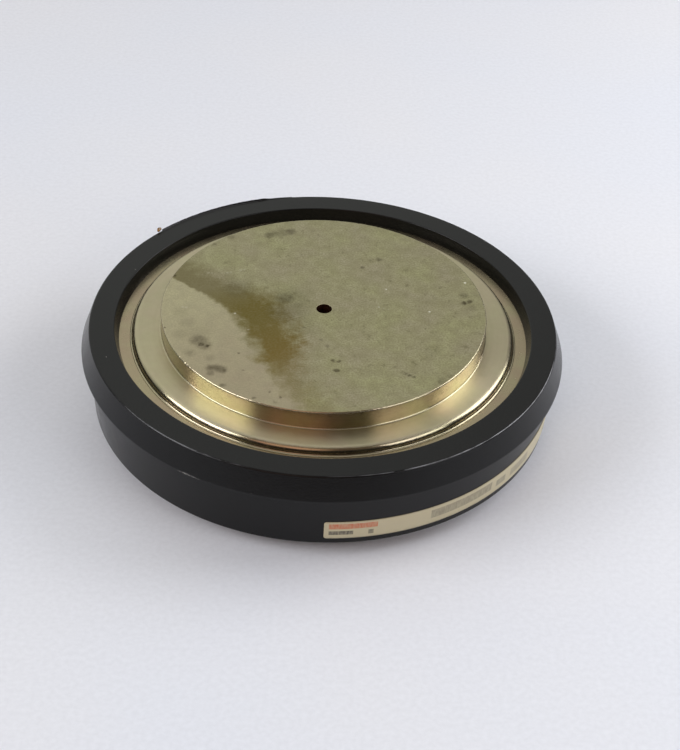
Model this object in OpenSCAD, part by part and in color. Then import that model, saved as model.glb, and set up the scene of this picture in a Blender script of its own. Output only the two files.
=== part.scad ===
// Disc rectifier diode in a moulded plastic ring, for clamping between two heat sinks.
// Origin: centre of the lower contact face. +Z points from the lower contact to the upper one.

/* [Overall] */
// Distance between the two contact faces
thickness = 26; // [22:0.5:34]
// Diameter of each contact face
contact_d = 73; // [60:0.5:76]

/* [Pole pieces] */
// Height of the contact face above the shoulder
contact_h = 4.5; // [3.5:0.1:6]
// Width of the shoulder round each contact
shoulder_w = 6.4; // [4:0.1:8]
// Depth of the shoulder, down to the flange it is brazed to
shoulder_h = 1.75; // [1.6:0.05:3]
// How far the pole piece reaches past the contact's edge, inside the housing
root_w = 1.5; // [0:0.1:2.5]
// Rounding of the contact face's edge
contact_edge_r = 0.4; // [0.1:0.05:0.6]
// Fillet where the contact rises from the shoulder
foot_r = 0.6; // [0.3:0.1:1.4]
// Rounding of the shoulder's outer edge
shoulder_edge_r = 0.9; // [0.2:0.05:1]
// Fillet of braze where the shoulder stands on the flange
braze_r = 0.5; // [0.2:0.05:0.6]
// How far the braze fillet's arc dips into the flange's plane, so that its tip isn't a feather edge
braze_dip = 0.03; // [0.02:0.01:0.05]
// Diameter of the centring hole in each contact
pin_hole_d = 3.5; // [2.5:0.1:5]
// Depth of the centring hole
pin_hole_h = 3; // [1.5:0.1:4]

/* [Flanges] */
// Thickness of the flange sheet
sheet_t = 0.5; // [0.3:0.05:0.8]
// Width of the flange held in the plastic ring
grip_w = 2.6; // [1.5:0.1:3.4]

/* [Plastic ring] */
// Gap between each shoulder and the foot of the ring's opening, where the flange shows
mouth_gap = 3.05; // [2.5:0.05:6]
// How far the opening widens from its foot out to the ring's face
mouth_draft = 0.95; // [0.3:0.05:1.5]
// Height of each contact face above the ring's face
recess_h = 3.5; // [2.5:0.1:4.5]
// Width of the ring's upper face, from its opening to its outer edge
face_w = 5.6; // [4.5:0.1:8]
// How far the collar's edge stands out past the upper face
collar_w = 1.9; // [1:0.1:4]
// Height of the sloping side above the collar's edge
slope_h = 5.2; // [3:0.1:7]
// Height of the collar's upright edge
collar_land = 0.4; // [0.2:0.1:1]
// Rise of the collar's underside, out to its edge
collar_draft = 0.6; // [0.2:0.1:1]
// How far the collar's edge overhangs the wall below it
collar_lip = 1.5; // [1:0.1:3]
// How far the wall stands further out under the collar than at its foot
wall_draft = 0.8; // [0.2:0.1:1.2]
// Rounding of the ring's outer edges
ring_edge_r = 0.45; // [0.2:0.05:0.8]
// Gap between each shoulder and the ring's bore
bore_gap = 1.5; // [1:0.05:1.8]

/* [Moulding flash] */
// Height of the flash that stands on the upper edge
flash_h = 0.55; // [0.3:0.05:0.9]
// Thickness of the flash
flash_t = 0.4; // [0.2:0.05:0.6]
// Angle at which the flash starts
flash_start = 107; // [95:1:120]
// Angle that the flash covers
flash_sweep = 32; // [10:1:60]

/* [Semiconductor stack] */
// How far the silicon wafer reaches past the contact's edge
wafer_w = 1.5; // [0:0.1:2]
// Thickness of the silicon wafer
wafer_t = 0.6; // [0.4:0.05:1]
// Width of the bevel ground round the wafer
wafer_bevel = 0.5; // [0.2:0.05:0.6]
// Thickness of the molybdenum disc that carries the wafer
lower_disc_t = 2.2; // [1.5:0.1:3]
// Distance of the upper molybdenum disc's edge inside the wafer's edge
upper_disc_inset = 2; // [1.6:0.1:4]
// Thickness of the molybdenum disc on top of the wafer
upper_disc_t = 1.8; // [1.2:0.1:2.5]
// Thickness of the silver foil against each pole piece
foil_t = 0.2; // [0.1:0.05:0.3]

/* [Edge coat] */
// Thickness of the silicone rubber round the wafer's edge
coat_t = 1.4; // [1:0.1:1.6]
// Width of the silicone rubber on top of the wafer
coat_lap = 0.5; // [0.2:0.1:0.8]
// Depth of the silicone rubber on the side of the lower disc
coat_skirt = 1.2; // [0.6:0.1:1.4]

/* [Centring ring] */
// Clearance between the centring ring and what it locates
slip = 0.2; // [0.1:0.05:0.3]
// Cut across each corner of the centring ring
guide_bevel = 0.5; // [0.3:0.1:0.8]

/* [Seal rings] */
// Thickness of each seal ring's cord
seal_d = 1.6; // [1.2:0.1:2]
// Clearance on each side of a seal ring in its groove
seal_slack = 0.2; // [0.1:0.05:0.3]

/* [Label] */
// Height of the label strip
label_h = 4.8; // [3:0.1:6]
// Length of the label strip round the wall
label_len = 78; // [40:1:120]
// Thickness of the label
label_t = 0.12; // [0.1:0.01:0.2]
// Height of the label's lower edge above the ring's lower face
label_lift = 1.7; // [1:0.1:3]
// Angle at which the label starts
label_start = 272; // [180:1:300]
// Cut across each of the label's corners
label_corner = 0.6; // [0.3:0.1:1]

/* [Hidden] */
$fn = 180;
cut = 1;

// The radii follow from the contact's, outwards
contact_r = contact_d / 2;
shoulder_r = contact_r + shoulder_w;
root_r = contact_r + root_w;
wafer_r = contact_r + wafer_w;
mouth_foot_r = shoulder_r + mouth_gap;
mouth_r = mouth_foot_r + mouth_draft;
face_r = mouth_r + face_w;
collar_r = face_r + collar_w;
wall_top_r = collar_r - collar_lip;
wall_foot_r = wall_top_r - wall_draft;
pin_hole_r = pin_hole_d / 2;

// The stack lies between the pole pieces, which share the rest of the thickness
upper_disc_r = wafer_r - upper_disc_inset;
stack_h = 2 * foil_t + lower_disc_t + wafer_t + upper_disc_t;
pole_h = (thickness - stack_h) / 2;
lower_disc_z = pole_h + foil_t;
wafer_z = lower_disc_z + lower_disc_t;
upper_disc_z = wafer_z + wafer_t;
upper_foil_z = upper_disc_z + upper_disc_t;

// Distances from a contact face to the two sides of its flange
seat_depth = contact_h + shoulder_h;
flange_back = seat_depth + sheet_t;
bore_r = shoulder_r + bore_gap;
flange_r = mouth_r + grip_w;
seal_r = (bore_r + flange_r) / 2;
seal_half_w = seal_d / 2 + seal_slack;

// The ring's upper face, its sloping side and the rounding between them
ring_top = thickness - recess_h;
collar_z = ring_top - slope_h;
slope_len = norm([collar_w, slope_h]);
slope_nx = slope_h / slope_len;
slope_nz = collar_w / slope_len;
edge_x = face_r - ring_edge_r * (1 - slope_nz) / slope_nx;
edge_z = ring_top - ring_edge_r;

// The wall that leans out up to the collar, and the rounding at its foot
wall_top_z = collar_z - collar_land - collar_draft;
wall_h = wall_top_z - recess_h;
wall_nx = wall_h / norm([wall_draft, wall_h]);
wall_nz = wall_draft / norm([wall_draft, wall_h]);
foot_x = wall_foot_r - ring_edge_r * (1 - wall_nz) / wall_nx;
foot_z = recess_h + ring_edge_r;

coat_r = wafer_r + coat_t;
guide_in_r = max(root_r, coat_r) + slip;
guide_out_r = bore_r - slip;
guide_h = thickness - 2 * flange_back - slip;

label_z = recess_h + label_lift;
label_top = label_z + label_h;
label_sweep = label_len / (2 * PI * wall_r(label_z)) * 360;
label_end = label_start + label_sweep;

plated_copper = "#b3ac86";
plated_sheet = "#c2b58c";
black_plastic = "#26262a";
silver = "#d5d5d8";
molybdenum = "#8f9196";
silicon = "#5a5d6b";
clear_rubber = "#e6e2d6";
white_plastic = "#f0efe9";
red_rubber = "#8c3a2a";
label_paper = "#d9d0b8";

// Radius of the wall at height z
function wall_r(z) = wall_foot_r + wall_draft * (z - recess_h) / wall_h;

// What is cut from a square corner at [x, z] to round it. sx and sz point from the corner into the solid.
module corner_waste(x, z, r, sx, sz) {
    difference() {
        translate([x + sx * (r - cut) / 2, z + sz * (r - cut) / 2])
            square(r + cut, center = true);
        translate([x + sx * r, z + sz * r])
            circle(r);
    }
}

// What fills an inner corner at [x, z] to a fillet. sx and sz point from the corner into the open space.
module corner_fillet(x, z, r, sx, sz) {
    difference() {
        translate([x + sx * r / 2, z + sz * r / 2])
            square(r, center = true);
        translate([x + sx * r, z + sz * r])
            circle(r);
    }
}

// Places what is modelled from the lower contact face upwards against the upper contact face.
module from_upper_face() {
    translate([0, 0, thickness])
        mirror([0, 0, 1])
            children();
}

// The same for a section drawn in radius and height
module section_from_upper_face() {
    translate([0, thickness])
        mirror([0, 1])
            children();
}

// Braze at the foot of the shoulder, up to where its arc meets the flange's plane
module braze_fillet() {
    arc_z = seat_depth + braze_dip - braze_r;
    difference() {
        translate([shoulder_r, arc_z])
            square([braze_r, braze_r - braze_dip]);
        translate([shoulder_r + braze_r, arc_z])
            circle(braze_r);
    }
}

// Half section of a pole piece, from its contact face at height 0 to its inner face
module pole_section() {
    difference() {
        union() {
            square([contact_r, contact_h + cut]);
            translate([0, contact_h])
                square([shoulder_r, shoulder_h]);
            translate([0, contact_h])
                square([root_r, pole_h - contact_h]);
            corner_fillet(contact_r, contact_h, foot_r, 1, -1);
            braze_fillet();
        }
        corner_waste(contact_r, 0, contact_edge_r, -1, 1);
        corner_waste(shoulder_r, contact_h, shoulder_edge_r, -1, 1);
    }
}

// Blind hole for the clamp's centring pin, with the drill's cone at its end
module pin_hole() {
    translate([0, 0, -cut])
        cylinder(r = pin_hole_r, h = pin_hole_h + cut);
    translate([0, 0, pin_hole_h])
        cylinder(r1 = pin_hole_r, r2 = 0, h = pin_hole_r * tan(31));
}

module pole_piece() {
    color(plated_copper)
        difference() {
            rotate_extrude()
                pole_section();
            pin_hole();
        }
}

// Flat sheet, brazed under the shoulder and held by the plastic at its rim
module flange() {
    color(plated_sheet)
        rotate_extrude()
            translate([root_r, seat_depth])
                square([flange_r - root_r, sheet_t]);
}

module upper_pole_piece() {
    from_upper_face()
        pole_piece();
}

module lower_pole_piece() {
    pole_piece();
}

module upper_flange() {
    from_upper_face()
        flange();
}

module lower_flange() {
    flange();
}

// Outline of the ring: lower face, wall, collar, sloping side and upper face, out from the bore
module ring_outline() {
    polygon([
        [bore_r, recess_h],
        [foot_x, recess_h],
        [foot_x + ring_edge_r * wall_nx, foot_z - ring_edge_r * wall_nz],
        [wall_top_r, wall_top_z],
        [collar_r, collar_z - collar_land],
        [collar_r, collar_z],
        [edge_x + ring_edge_r * slope_nx, edge_z + ring_edge_r * slope_nz],
        [edge_x, ring_top],
        [bore_r, ring_top]
    ]);
    translate([edge_x, edge_z])
        circle(ring_edge_r);
    translate([foot_x, foot_z])
        circle(ring_edge_r);
}

// Tapered mouth, flange slot and seal groove at the lower contact
module ring_openings() {
    polygon([
        [bore_r - cut, 0],
        [mouth_r, 0],
        [mouth_r, recess_h],
        [mouth_foot_r, seat_depth],
        [flange_r, seat_depth],
        [flange_r, flange_back],
        [bore_r - cut, flange_back]
    ]);
    translate([seal_r - seal_half_w, seat_depth])
        square([2 * seal_half_w, sheet_t + seal_d]);
}

// Thin flash that the mould left standing on the upper outer edge
module mould_flash() {
    rotate([0, 0, flash_start])
        rotate_extrude(angle = flash_sweep)
            translate([face_r - flash_t, edge_z - ring_edge_r])
                square([flash_t, 2 * ring_edge_r + flash_h]);
}

module housing_ring() {
    color(black_plastic) {
        rotate_extrude()
            difference() {
                ring_outline();
                ring_openings();
                section_from_upper_face()
                    ring_openings();
            }
        mould_flash();
    }
}

module disc(r, h, z) {
    translate([0, 0, z])
        cylinder(r = r, h = h);
}

module lower_silver_foil() {
    color(silver)
        disc(upper_disc_r, foil_t, pole_h);
}

module lower_molybdenum_disc() {
    color(molybdenum)
        disc(wafer_r, lower_disc_t, lower_disc_z);
}

// The wafer is alloyed to the lower disc, and its edge is ground to a bevel
module silicon_wafer() {
    color(silicon)
        translate([0, 0, wafer_z])
            cylinder(r1 = wafer_r, r2 = wafer_r - wafer_bevel, h = wafer_t);
}

module upper_molybdenum_disc() {
    color(molybdenum)
        disc(upper_disc_r, upper_disc_t, upper_disc_z);
}

module upper_silver_foil() {
    color(silver)
        disc(upper_disc_r, foil_t, upper_foil_z);
}

// Half section of the rubber that is cast over the bevel, from the wafer's top down to the lower disc's side
module coat_section() {
    top = wafer_t + coat_t / 2;
    difference() {
        polygon([
            [wafer_r, -coat_skirt],
            [coat_r, -coat_skirt],
            [coat_r, top],
            [wafer_r - wafer_bevel - coat_lap, top],
            [wafer_r - wafer_bevel - coat_lap, wafer_t],
            [wafer_r - wafer_bevel, wafer_t],
            [wafer_r, 0]
        ]);
        corner_waste(coat_r, top, coat_t / 2, -1, -1);
    }
}

module wafer_edge_coat() {
    color(clear_rubber)
        translate([0, 0, wafer_z])
            rotate_extrude()
                coat_section();
}

// Stands on the lower flange and keeps the stack in the middle of the ring's bore
module centring_ring() {
    color(white_plastic)
        translate([0, 0, flange_back])
            rotate_extrude()
                polygon([
                    [guide_in_r + guide_bevel, 0],
                    [guide_out_r - guide_bevel, 0],
                    [guide_out_r, guide_bevel],
                    [guide_out_r, guide_h - guide_bevel],
                    [guide_out_r - guide_bevel, guide_h],
                    [guide_in_r + guide_bevel, guide_h],
                    [guide_in_r, guide_h - guide_bevel],
                    [guide_in_r, guide_bevel]
                ]);
}

module seal_ring() {
    color(red_rubber)
        rotate_extrude()
            translate([seal_r, flange_back + seal_d / 2])
                circle(seal_d / 2);
}

module upper_seal_ring() {
    from_upper_face()
        seal_ring();
}

module lower_seal_ring() {
    seal_ring();
}

// What is cut from one corner of the label. side and up point from the corner into the label.
module label_corner_waste(angle, z, side, up) {
    past = label_corner + cut;
    rotate([0, 0, angle])
        translate([wall_r(z) - cut, 0, z])
            rotate([90, 0, 90])
                linear_extrude(2 * cut)
                    polygon([[-side * cut, -up * cut], [side * past, -up * cut], [-side * cut, up * past]]);
}

module rim_label() {
    color(label_paper)
        difference() {
            rotate([0, 0, label_start])
                rotate_extrude(angle = label_sweep)
                    polygon([
                        [wall_r(label_z), label_z],
                        [wall_r(label_z) + label_t, label_z],
                        [wall_r(label_top) + label_t, label_top],
                        [wall_r(label_top), label_top]
                    ]);
            label_corner_waste(label_start, label_z, 1, 1);
            label_corner_waste(label_start, label_top, 1, -1);
            label_corner_waste(label_end, label_z, -1, 1);
            label_corner_waste(label_end, label_top, -1, -1);
        }
}

housing_ring();
upper_pole_piece();
lower_pole_piece();
upper_flange();
lower_flange();
upper_silver_foil();
upper_molybdenum_disc();
silicon_wafer();
wafer_edge_coat();
lower_molybdenum_disc();
lower_silver_foil();
centring_ring();
upper_seal_ring();
lower_seal_ring();
rim_label();
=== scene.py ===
# Disc rectifier diode in a black moulded ring, lying on a pale table top
import math

import bmesh
import bpy
import numpy as np
from mathutils import Matrix, Vector


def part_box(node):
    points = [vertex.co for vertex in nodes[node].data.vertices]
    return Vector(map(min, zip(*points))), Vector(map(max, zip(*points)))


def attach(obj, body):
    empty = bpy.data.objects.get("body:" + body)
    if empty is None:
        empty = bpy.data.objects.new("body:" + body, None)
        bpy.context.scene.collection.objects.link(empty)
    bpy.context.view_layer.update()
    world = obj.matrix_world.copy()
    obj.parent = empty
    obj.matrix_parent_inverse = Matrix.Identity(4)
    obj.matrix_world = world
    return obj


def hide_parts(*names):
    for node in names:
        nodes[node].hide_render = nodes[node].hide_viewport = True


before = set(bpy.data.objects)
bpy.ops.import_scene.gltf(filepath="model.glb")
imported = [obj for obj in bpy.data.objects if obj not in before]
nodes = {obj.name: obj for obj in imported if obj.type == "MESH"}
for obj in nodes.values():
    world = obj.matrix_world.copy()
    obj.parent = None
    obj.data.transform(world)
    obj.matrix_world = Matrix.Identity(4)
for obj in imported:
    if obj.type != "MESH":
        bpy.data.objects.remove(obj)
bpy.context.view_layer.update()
scene = bpy.context.scene
mm = 0.001  # all sizes below are in millimetres

print("frame loaded:", len(nodes), "solids")


def linearColour(hexCode):
    # sRGB hex to linear: below 0.04045 a straight line, above it a power of 2.4
    values = [int(hexCode[i:i + 2], 16) / 255 for i in (1, 3, 5)]
    return tuple(v / 12.92 if v <= 0.04045 else ((v + 0.055) / 1.055) ** 2.4 for v in values) + (1.0,)


def addNode(tree, kind, sockets=None, out=0, **settings):
    # Adds one node and gives back one output of it, or the node itself where out is None. sockets maps an
    # input's name or number to its value, or to the output that feeds it
    node = tree.nodes.new("ShaderNode" + kind)
    for name, value in settings.items():
        setattr(node, name, value)
    for key, value in (sockets or {}).items():
        if isinstance(value, bpy.types.NodeSocket):
            tree.links.new(value, node.inputs[key])
        else:
            node.inputs[key].default_value = value
    return node if out is None else node.outputs[out]


def newMaterial(name, **sockets):
    # A material with its shader, and the object's own coordinates in millimetres for its patterns
    material = bpy.data.materials.new(name)
    material.use_nodes = True
    tree = material.node_tree
    tree.nodes.clear()
    named = {key.replace("_", " "): value for key, value in sockets.items()}
    shader = addNode(tree, "BsdfPrincipled", named, None)
    addNode(tree, "OutputMaterial", {"Surface": shader.outputs[0]}, None)
    coordinates = addNode(tree, "TexCoord", out="Object")
    place = addNode(tree, "VectorMath", {0: coordinates, "Scale": 1 / mm}, operation="SCALE")
    return material, tree, shader, place


def unevenness(tree, place, grain, low=0.0, high=1.0, detail=3.0, sharp=0.2):
    # Noise with grains of that size in mm, spread from low to high; sharp is half of the noise's used range
    noise = addNode(tree, "TexNoise", {"Vector": place, "Scale": 1 / grain, "Detail": detail})
    return addNode(tree, "MapRange", {0: noise, 1: 0.5 - sharp, 2: 0.5 + sharp, 3: low, 4: high})


def tinted(tree, under, over, cover, strength=1.0):
    # Lays one colour over another as far as cover times strength says; each is a hex code or an output
    share = addNode(tree, "Math", {0: cover, 1: strength}, operation="MULTIPLY")
    under, over = [linearColour(colour) if isinstance(colour, str) else colour for colour in (under, over)]
    return addNode(tree, "Mix", {0: share, 6: under, 7: over}, 2, data_type="RGBA")


def closeness(tree, place, spot, start, full, strength=1.0, measure="DISTANCE"):
    # Rises smoothly to strength as the measure between a place and a spot goes from start to full
    gap = addNode(tree, "VectorMath", {0: place, 1: spot}, "Value", operation=measure)
    rise = {0: gap, 1: start, 2: full, 4: strength}
    return addNode(tree, "MapRange", rise, interpolation_type="SMOOTHSTEP")


def finishWith(tree, shader, colour, roughness=None, relief=None, depth=0.0):
    # Feeds the shader a colour, a roughness and a relief that goes from 0 to 1 and is that many mm deep
    tree.links.new(colour, shader.inputs["Base Color"])
    if roughness is not None:
        tree.links.new(roughness, shader.inputs["Roughness"])
    if relief is not None:
        bump = addNode(tree, "Bump", {"Height": relief, "Distance": depth * mm})
        tree.links.new(bump, shader.inputs["Normal"])


def sectionPlace(tree, place):
    # Where a point lies in the turned section: its distance from the axis, and its height
    flat = addNode(tree, "VectorMath", {0: place, 1: (1, 1, 0)}, operation="MULTIPLY")
    radius = addNode(tree, "VectorMath", {0: flat}, "Value", operation="LENGTH")
    height = addNode(tree, "SeparateXYZ", {0: place}, 2)
    return addNode(tree, "CombineXYZ", {0: radius, 1: height})


def surfaceObject(name, points, material, roundClosed=True, acrossClosed=False):
    # points is an array of rows round and points across, in mm; each four neighbours become a face
    rows, across = points.shape[:2]
    index = np.arange(rows * across).reshape(rows, across)
    if roundClosed:
        index = np.vstack([index, index[:1]])
    if acrossClosed:
        index = np.hstack([index, index[:, :1]])
    faces = np.stack([index[:-1, :-1], index[1:, :-1], index[1:, 1:], index[:-1, 1:]], -1).reshape(-1, 4)
    mesh = bpy.data.meshes.new(name)
    mesh.from_pydata((points.reshape(-1, 3) * mm).tolist(), [], faces.tolist())
    shell = bmesh.new()
    shell.from_mesh(mesh)
    bmesh.ops.remove_doubles(shell, verts=shell.verts, dist=0.0002 * mm)
    bmesh.ops.recalc_face_normals(shell, faces=shell.faces)
    shell.to_mesh(mesh)
    shell.free()
    mesh.shade_smooth()
    mesh.materials.append(material)
    piece = bpy.data.objects.new(name, mesh)
    scene.collection.objects.link(piece)
    return piece


def roundedOutline(corners, closed, arcSteps=8, hold=0.04, chamfered=0.05):
    # corners are (radius, height, rounding). The rounding's arc starts rounding * tan(turn / 2) before the
    # corner and turns about a centre at that rounding's distance; a hold point beside each end keeps the
    # flats flat. A rounding smaller than chamfered is one straight face, enough for so sharp an edge
    corners = np.array(corners, float)
    place, rounding = corners[:, :2], corners[:, 2]
    come = place - np.roll(place, 1, axis=0)
    leave = np.roll(place, -1, axis=0) - place
    come = come / np.linalg.norm(come, axis=1, keepdims=True)
    leave = leave / np.linalg.norm(leave, axis=1, keepdims=True)
    turn = np.arctan2(come[:, 0] * leave[:, 1] - come[:, 1] * leave[:, 0], (come * leave).sum(1))
    reach = (rounding * np.tan(np.abs(turn) / 2))[:, None]
    start, end = place - come * reach, place + leave * reach
    inward = np.stack([-come[:, 1], come[:, 0]], 1) * (np.sign(turn) * rounding)[:, None]
    angle = turn[:, None] * np.linspace(0, 1, arcSteps + 1)
    spokeX = -inward[:, :1] * np.cos(angle) + inward[:, 1:] * np.sin(angle)
    spokeY = -inward[:, :1] * np.sin(angle) - inward[:, 1:] * np.cos(angle)
    arc = (start + inward)[:, None] + np.stack([spokeX, spokeY], -1)
    whole = np.concatenate([(start - come * hold)[:, None], arc, (end + leave * hold)[:, None]], 1)
    kept = np.ones(whole.shape[:2], bool)
    kept[rounding < chamfered, 2:-2] = False
    if closed:
        return whole[kept]
    kept[[0, -1]] = False
    return np.concatenate([place[:1], whole[kept], place[-1:]])


def turnedPoints(outline, angles):
    # Each outline point goes round the axis: x = radius cos(angle), y = radius sin(angle), z = height
    outline = np.broadcast_to(outline, (len(angles),) + outline.shape[-2:])
    radius, height = outline[..., 0], outline[..., 1]
    angles = angles[:, None]
    return np.stack([radius * np.cos(angles), radius * np.sin(angles), height], -1)


def finished(piece, slotName, *replaced):
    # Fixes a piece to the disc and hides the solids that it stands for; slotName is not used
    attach(piece, "root")
    if replaced:
        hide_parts(*replaced)
    return piece


camera = {
    "place": (0.0, -301.4, 245.3),
    "aim": (4.2, -7.3, 13.0),
    "roll": 2.88,  # degrees
    "focalPixels": 1659.5,
    "imageHeight": 750,  # the image's long side, which the sensor's width spans
    "sensor": 36.0,
}


def makeCamera():
    data = bpy.data.cameras.new("photoCamera")
    data.sensor_width = camera["sensor"]
    data.lens = camera["focalPixels"] / camera["imageHeight"] * camera["sensor"]
    data.clip_start, data.clip_end = 0.01, 20
    place = Vector(camera["place"]) * mm
    forward = (Vector(camera["aim"]) * mm - place).normalized()
    level = forward.cross(Vector((0, 0, 1))).normalized()
    upright = level.cross(forward)
    roll = math.radians(camera["roll"])
    right = level * math.cos(roll) + upright * math.sin(roll)
    up = upright * math.cos(roll) - level * math.sin(roll)
    pose = Matrix((right, up, -forward)).transposed().to_4x4()
    pose.translation = place
    holder = bpy.data.objects.new("photoCamera", data)
    holder.matrix_world = pose
    scene.collection.objects.link(holder)
    scene.camera = holder


room = {
    "base": "#828283",  # the walls and ceiling all round
    "patches": {  # azimuth, elevation, degrees from there where it starts and is full, added level, tint
        "backWall": (117, 19, 58, 8, 0.58, "#fbfff6"),
        "overhead": (90, 74, 38, 12, 0.42, "#ffffff"),
        "darkSide": (-88, 30, 60, 20, -0.15, "#cdecff"),
        "warmSide": (-107, 36, 25, 5, 0.75, "#ffd0bf"),
    },
    "seen": "#dfe1e6",  # what the camera sees past the table's edge
}
lamps = {
    "aim": (0, 0, 10),
    "tint": "#fbfbff",
    "windows": {  # the middle, width and height, watts
        "rightWindow": ((474, 158, 333), (390, 350), 1.78),
        "rightDoor": ((508, -356, 330), (400, 380), 1.2),
        "leftWindow": ((-856, -278, 600), (800, 430), 6.4),
    },
}


def makeRoomLight():
    # Patches of light and dark on the room's walls, each a smooth disc round its own direction
    world = bpy.data.worlds.new("room")
    scene.world = world
    world.use_nodes = True
    tree = world.node_tree
    tree.nodes.clear()
    direction = addNode(tree, "TexCoord", out="Generated")
    level = linearColour(room["base"])[:3]
    for *angles, added, tint in room["patches"].values():
        turn, rise, wide, core = [math.radians(angle) for angle in angles]
        middle = (math.cos(turn) * math.cos(rise), math.sin(turn) * math.cos(rise), math.sin(rise))
        inside = closeness(tree, direction, middle, math.cos(wide), math.cos(core), added, "DOT_PRODUCT")
        glow = addNode(tree, "VectorMath", {0: linearColour(tint)[:3], "Scale": inside}, operation="SCALE")
        level = addNode(tree, "VectorMath", {0: level, 1: glow}, operation="ADD")
    seen = addNode(tree, "LightPath", out="Is Camera Ray")
    background = addNode(tree, "Background", {"Color": tinted(tree, level, room["seen"], seen)})
    addNode(tree, "OutputWorld", {"Surface": background}, None)


def makeLamps():
    aim = Vector(lamps["aim"])
    for name, (place, size, watts) in lamps["windows"].items():
        data = bpy.data.lights.new(name, "AREA")
        data.shape = "RECTANGLE"
        data.size, data.size_y = [side * mm for side in size]
        data.energy = watts
        data.color = linearColour(lamps["tint"])[:3]
        holder = bpy.data.objects.new(name, data)
        holder.location = Vector(place) * mm
        holder.rotation_mode = "QUATERNION"
        holder.rotation_quaternion = (aim - Vector(place)).to_track_quat("-Z", "Y")
        holder.visible_camera = False
        scene.collection.objects.link(holder)


table = {
    "size": 6000.0,
    "steps": 8,
    "lowered": 0.01,  # so that it shares no plane with the lower contact face
    "colour": "#e2e6ed",
    "warm": "#e5e7eb",
    "cloud": 90.0,
    "speck": 1.1,
    "speckLevels": (0.965, 1.02),
}


def makeTable():
    # Matt white laminate: pale, faintly cool, with a soft cloudiness and no pattern
    material, tree, shader, place = newMaterial("whiteLaminate", Roughness=0.75, Specular_IOR_Level=0.15)
    cloud = unevenness(tree, place, table["cloud"], 0.0, 1.0, 2.0)
    colour = tinted(tree, table["colour"], table["warm"], cloud)
    speck = unevenness(tree, place, table["speck"], *table["speckLevels"], 2.0)
    speckled = addNode(tree, "VectorMath", {0: colour, "Scale": speck}, operation="SCALE")
    finishWith(tree, shader, speckled)
    side = np.linspace(-0.5, 0.5, table["steps"] + 1) * table["size"]
    across, along = np.meshgrid(side, side, indexing="ij")
    points = np.stack([across, along, across * 0 - table["lowered"]], -1)
    surfaceObject("tableTop", points, material, roundClosed=False)


makeCamera()
makeRoomLight()
makeLamps()
makeTable()
print("camera, room and table ready")


ring = {
    "mouth": 46.9,  # radii, out from the axis
    "mouthFoot": 45.95,
    "bore": 44.4,
    "face": 52.5,
    "collar": 54.4,
    "wallTop": 52.9,
    "wallFoot": 52.1,
    "grip": 49.5,
    "sealIn": 45.95,
    "sealOut": 47.95,
    "recess": 3.5,  # heights, from the nearer contact face
    "sheetOut": 6.25,
    "sheetIn": 6.75,
    "sealFloor": 8.35,
    "collarTop": 17.3,  # heights above the lower contact face
    "collarBottom": 16.9,
    "underside": 16.3,
    "edge": 0.45,  # roundings
    "mouthEdge": 0.25,
    "collarEdge": 0.08,
    "inner": 0.02,
    "steps": 690,
}
plastic = {
    "colours": ("#040405", "#070707"),
    "cloud": 7.0,
    "grain": 0.5,
    "grainTint": "#161513",
    "grainCover": 0.6,
    "polish": 3.0,  # size of its duller and glossier patches
    "roughness": (0.2, 0.27),
    "texture": 0.32,
    "textureDepth": 0.007,
    "rubbedAndHighlight": [(-42, 45, 0.85), (-124, 22, 0.5), (-78, 12, 0.15)],  # azimuth, half width in degrees, cover of the rubbed line and its painted highlight
    # pale grey of the rubbed line, which is partly a painted highlight
    "rubbedHighlightTint": "#aeb0b4",
    "rubbedHighlightInset": 0.12,  # how far inside the edge's corner the rubbed line with its painted highlight runs
    "rubbedHighlightReach": (0.16, 0.03),  # distances from the line where it starts and is full
    "streaks": 14.0,  # to a radian round the ring
    "scuffAt": (-119.2, 16.6),  # azimuth and height
    "scuffReach": (3.6, 0.8),  # along the collar and up
    "scuffTint": "#c4c2bd",
    "scuffFade": (1.0, 0.1),  # shares of its reach where it starts and is full
    "smear": 0.7,
    "dustApart": 2.6,
    "dustReach": (0.075, 0.03),  # as shares of the distance apart
    "dustRare": 0.9,
    "dustTint": "#b9b6ae",
    "dustUpward": (0.2, 0.8),  # how far up a surface looks where its dust starts and is full
    "dustCover": 0.8,
}
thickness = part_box("upper_pole_piece")[1].z / mm


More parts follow.
